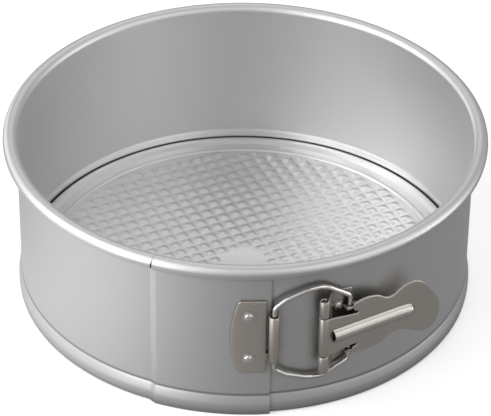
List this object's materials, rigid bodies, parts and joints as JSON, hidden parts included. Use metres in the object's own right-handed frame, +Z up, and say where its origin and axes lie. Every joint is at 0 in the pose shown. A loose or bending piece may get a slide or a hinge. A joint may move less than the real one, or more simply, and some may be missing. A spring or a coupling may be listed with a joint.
{
  "type": "springform pan",
  "caption": "Round springform baking pan: side band with overlapping ends and rolled rim, over-centre lever latch with wire bail, lift-out waffled base.",
  "frame": {"origin": "pan axis on the table plane, centre of the bottom", "axes": "+Z up along the pan's axis, -Y towards the latch side"},
  "size_m": [0.2166, 0.2166, 0.0803],
  "materials": {
    "band_aluminium": "satin anodised",
    "base_aluminium": "satin anodised, stamped waffle",
    "latch_steel": "satin plated",
    "rivet_steel": "bright",
    "wire_steel": "bright drawn wire"
  },
  "bodies": {
    "band": {"side_band": "band_aluminium", "catch_plate": "latch_steel", "catch_rivets": "rivet_steel", "lever_bracket": "latch_steel", "bracket_rivets": "rivet_steel", "hinge_pin": "rivet_steel"},
    "lever": {"lever": "latch_steel"},
    "bail": {"bail_wire": "wire_steel"},
    "base": {"base_plate": "base_aluminium"}
  },
  "joints": [
    {"name": "lever_swing", "type": "hinge", "parent": "band", "child": "lever", "pos_m": [0.03433, -0.10261, 0.0421], "axis": [0, 0, -1], "range_deg": [0, 140]},
    {"name": "bail_swing", "type": "hinge", "parent": "band", "child": "bail", "pos_m": [0.01325, -0.10489, 0.0421], "axis": [0, 0, -1], "range_deg": [0, 21]},
    {"name": "base_lift", "type": "slide", "parent": "band", "child": "base", "axis": [0, 0, 1], "range_m": [0, 0.1]}
  ],
  "couplings": [
    {"joint": "bail_swing", "follows": "lever_swing", "ratio": 0.15}
  ]
}
